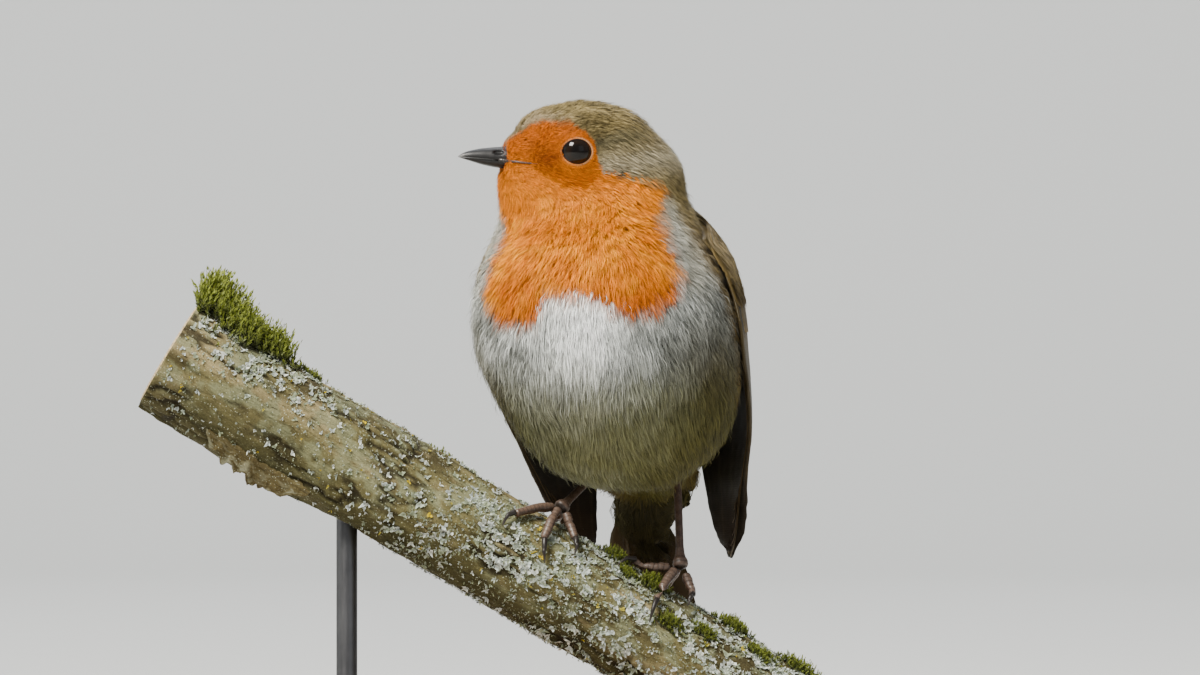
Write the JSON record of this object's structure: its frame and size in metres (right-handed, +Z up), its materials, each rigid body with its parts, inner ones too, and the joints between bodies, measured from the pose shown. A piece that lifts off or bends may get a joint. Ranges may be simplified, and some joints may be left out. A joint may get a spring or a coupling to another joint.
{
  "type": "robin",
  "caption": "Life-size still model of a perched European robin, head turned to its right, on a cut length of lichened branch held by a small display stand.",
  "frame": {"origin": "centre of the underside of the stand's base", "axes": "+Z up; +X toward the branch's lower end, on the viewer's right; the viewer looks along +Y and the bird's breast faces -Y"},
  "size_m": [0.1556, 0.092, 0.154],
  "materials": {
    "orange_plumage": "orange contour feathers of face, throat and breast",
    "body_plumage": "white belly and grey flanks, buff toward the vent",
    "flight_feathers": "brown vaned feathers with paler edges",
    "bare_legs": "scaled reddish brown skin",
    "horn": "dark horn of bill and claws",
    "eyes": "near-black, wet gloss",
    "bark": "weathered bark with lichen and moss, sawn ends",
    "stand_wood": "satin hardwood",
    "stand_steel": "dark rod"
  },
  "bodies": {
    "root": {"bill_lower": "horn", "bill_upper": "horn", "claw_hind_left": "horn", "claw_hind_right": "horn", "claw_inner_left": "horn", "claw_inner_right": "horn", "claw_middle_left": "horn", "claw_middle_right": "horn", "claw_outer_left": "horn", "claw_outer_right": "horn", "eye_left": "eyes", "eye_right": "eyes", "head": "orange_plumage", "neck": "orange_plumage", "perch": "bark", "stand_base": "stand_wood", "stand_rod_1": "stand_steel", "stand_rod_2": "stand_steel", "tail": "flight_feathers", "tarsus_left": "bare_legs", "tarsus_right": "bare_legs", "thigh_left": "body_plumage", "thigh_right": "body_plumage", "toe_hind_left": "bare_legs", "toe_hind_right": "bare_legs", "toe_inner_left": "bare_legs", "toe_inner_right": "bare_legs", "toe_middle_left": "bare_legs", "toe_middle_right": "bare_legs", "toe_outer_left": "bare_legs", "toe_outer_right": "bare_legs", "trunk": "body_plumage", "wing_left": "flight_feathers", "wing_right": "flight_feathers"}
  },
  "joints": []
}
